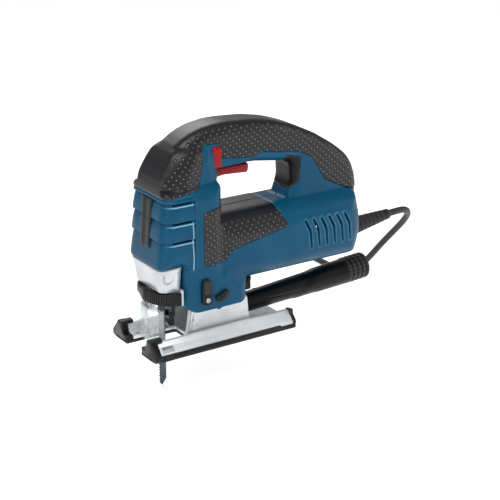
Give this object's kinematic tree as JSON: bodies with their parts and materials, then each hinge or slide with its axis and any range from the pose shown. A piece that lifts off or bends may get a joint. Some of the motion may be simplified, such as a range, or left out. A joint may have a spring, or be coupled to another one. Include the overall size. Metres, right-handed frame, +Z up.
{
  "type": "jigsaw power tool",
  "caption": "Corded jigsaw with a bow handle, aluminium gear head, tilting sole plate with sliding shoe, clear chip guard and a dust pipe under the motor.",
  "frame": {"origin": "middle of the sole's underside, on the bevel axis", "axes": "+X in the cutting direction, +Y to the tool's left side, +Z up from the sole to the handle"},
  "size_m": [0.353, 0.4105, 0.2525],
  "materials": {
    "blue_plastic": "satin moulded",
    "grip_rubber": "matt, dimpled",
    "cord_rubber": "matt",
    "black_plastic": "satin",
    "red_plastic": "satin gloss",
    "cast_aluminium": "fine blasted casting",
    "steel": "turned and ground",
    "dark_steel": "hardened, dark",
    "bronze": "sintered",
    "copper": "enamelled copper winding",
    "lamination": "stacked sheet",
    "carbon": "pressed carbon",
    "clear_plastic": "clear polycarbonate"
  },
  "bodies": {
    "housing": {"housing_left": "blue_plastic", "housing_right": "blue_plastic", "nose_cover": "blue_plastic", "handle_grip": "grip_rubber", "handle_liner": "grip_rubber", "barrel_pad_left": "grip_rubber", "barrel_pad_right": "grip_rubber", "front_strip": "grip_rubber", "cord_boot": "cord_rubber", "cord": "cord_rubber", "cord_coil": "cord_rubber", "switch_module": "black_plastic", "electronics_module": "black_plastic", "cord_clamp": "black_plastic", "cord_tie": "black_plastic", "mains_plug": "black_plastic", "gearbox_housing": "cast_aluminium", "gear_axle": "steel", "gearbox_screw_left": "steel", "gearbox_screw_right": "steel", "bearing_front": "steel", "bearing_rear": "steel", "housing_screw_1": "steel", "housing_screw_2": "steel", "housing_screw_3": "steel", "lower_bushing": "bronze", "upper_bushing": "bronze", "brush_holder_left": "bronze", "brush_holder_right": "bronze", "field_coil_upper": "copper", "field_coil_lower": "copper", "stator_core": "lamination", "carbon_brush_left": "carbon", "carbon_brush_right": "carbon"},
    "rotor": {"rotor_shaft": "steel", "armature_core": "lamination", "winding_front": "copper", "winding_rear": "copper", "commutator": "copper", "cooling_fan": "black_plastic"},
    "crank": {"crank_gear": "steel"},
    "plunger": {"plunger_rod": "steel", "plunger_yoke": "dark_steel", "blade_clamp": "dark_steel", "saw_blade": "dark_steel"},
    "orbital_fork": {"roller_fork": "dark_steel"},
    "roller": {"guide_roller": "steel"},
    "orbital_selector": {"orbital_lever": "black_plastic"},
    "blower_selector": {"blower_switch": "black_plastic"},
    "trigger": {"trigger": "red_plastic"},
    "lock_on_button": {"lock_button": "red_plastic"},
    "speed_dial": {"speed_wheel": "black_plastic"},
    "release_lever": {"blade_release_lever": "black_plastic"},
    "base": {"base_plate": "cast_aluminium", "base_cradle": "cast_aluminium", "sliding_shoe": "black_plastic", "chip_guard": "clear_plastic", "dust_pipe": "black_plastic", "dust_coupling": "grip_rubber"},
    "clamp_lever": {"bevel_clamp_lever": "black_plastic"}
  },
  "joints": [
    {"name": "rotor_spin", "type": "hinge", "parent": "housing", "child": "rotor", "pos_m": [0, 0, 0.089], "axis": [1, 0, 0], "continuous": true},
    {"name": "crank_spin", "type": "hinge", "parent": "housing", "child": "crank", "pos_m": [0, 0, 0.11735], "axis": [1, 0, 0], "continuous": true},
    {"name": "blade_stroke", "type": "slide", "parent": "housing", "child": "plunger", "axis": [0, 0, 1], "range_m": [0, 0.026]},
    {"name": "orbital_swing", "type": "hinge", "parent": "housing", "child": "orbital_fork", "pos_m": [0.039, 0, 0.062], "axis": [0, 1, 0], "range_deg": [0, 3]},
    {"name": "roller_spin", "type": "hinge", "parent": "orbital_fork", "child": "roller", "pos_m": [0.0409, 0, 0.022], "axis": [0, 1, 0], "continuous": true},
    {"name": "orbital_select", "type": "hinge", "parent": "housing", "child": "orbital_selector", "pos_m": [0.0204, 0.036, 0.0495], "axis": [0, 1, 0], "range_deg": [-30, 25]},
    {"name": "blower_select", "type": "hinge", "parent": "housing", "child": "blower_selector", "pos_m": [0.0063, 0.036, 0.0485], "axis": [0, 1, 0], "range_deg": [-20, 30]},
    {"name": "trigger_pull", "type": "hinge", "parent": "housing", "child": "trigger", "pos_m": [-0.006, 0, 0.17], "axis": [0, 1, 0], "range_deg": [0, 5], "stiffness_Nm_per_rad": 3, "springref_deg": -2.86},
    {"name": "lock_on_slide", "type": "slide", "parent": "housing", "child": "lock_on_button", "axis": [0, 1, 0], "range_m": [-0.0025, 0.0025]},
    {"name": "speed_set", "type": "hinge", "parent": "housing", "child": "speed_dial", "pos_m": [-0.1545, 0, 0.13], "axis": [0, 1, 0], "range_deg": [-135, 135]},
    {"name": "blade_release", "type": "hinge", "parent": "housing", "child": "release_lever", "pos_m": [0.0565, -0.0205, 0.053], "axis": [0, 0, -1], "range_deg": [0, 60], "stiffness_Nm_per_rad": 0.05, "springref_deg": -17.19},
    {"name": "bevel_tilt", "type": "hinge", "parent": "housing", "child": "base", "pos_m": [0, 0, 0], "axis": [1, 0, 0], "range_deg": [-45, 45]},
    {"name": "bevel_lock", "type": "hinge", "parent": "base", "child": "clamp_lever", "pos_m": [-0.04, 0, 0.038], "axis": [1, 0, 0], "range_deg": [-75, 75]}
  ],
  "couplings": [
    {"joint": "crank_spin", "follows": "rotor_spin", "ratio": -0.16667}
  ]
}
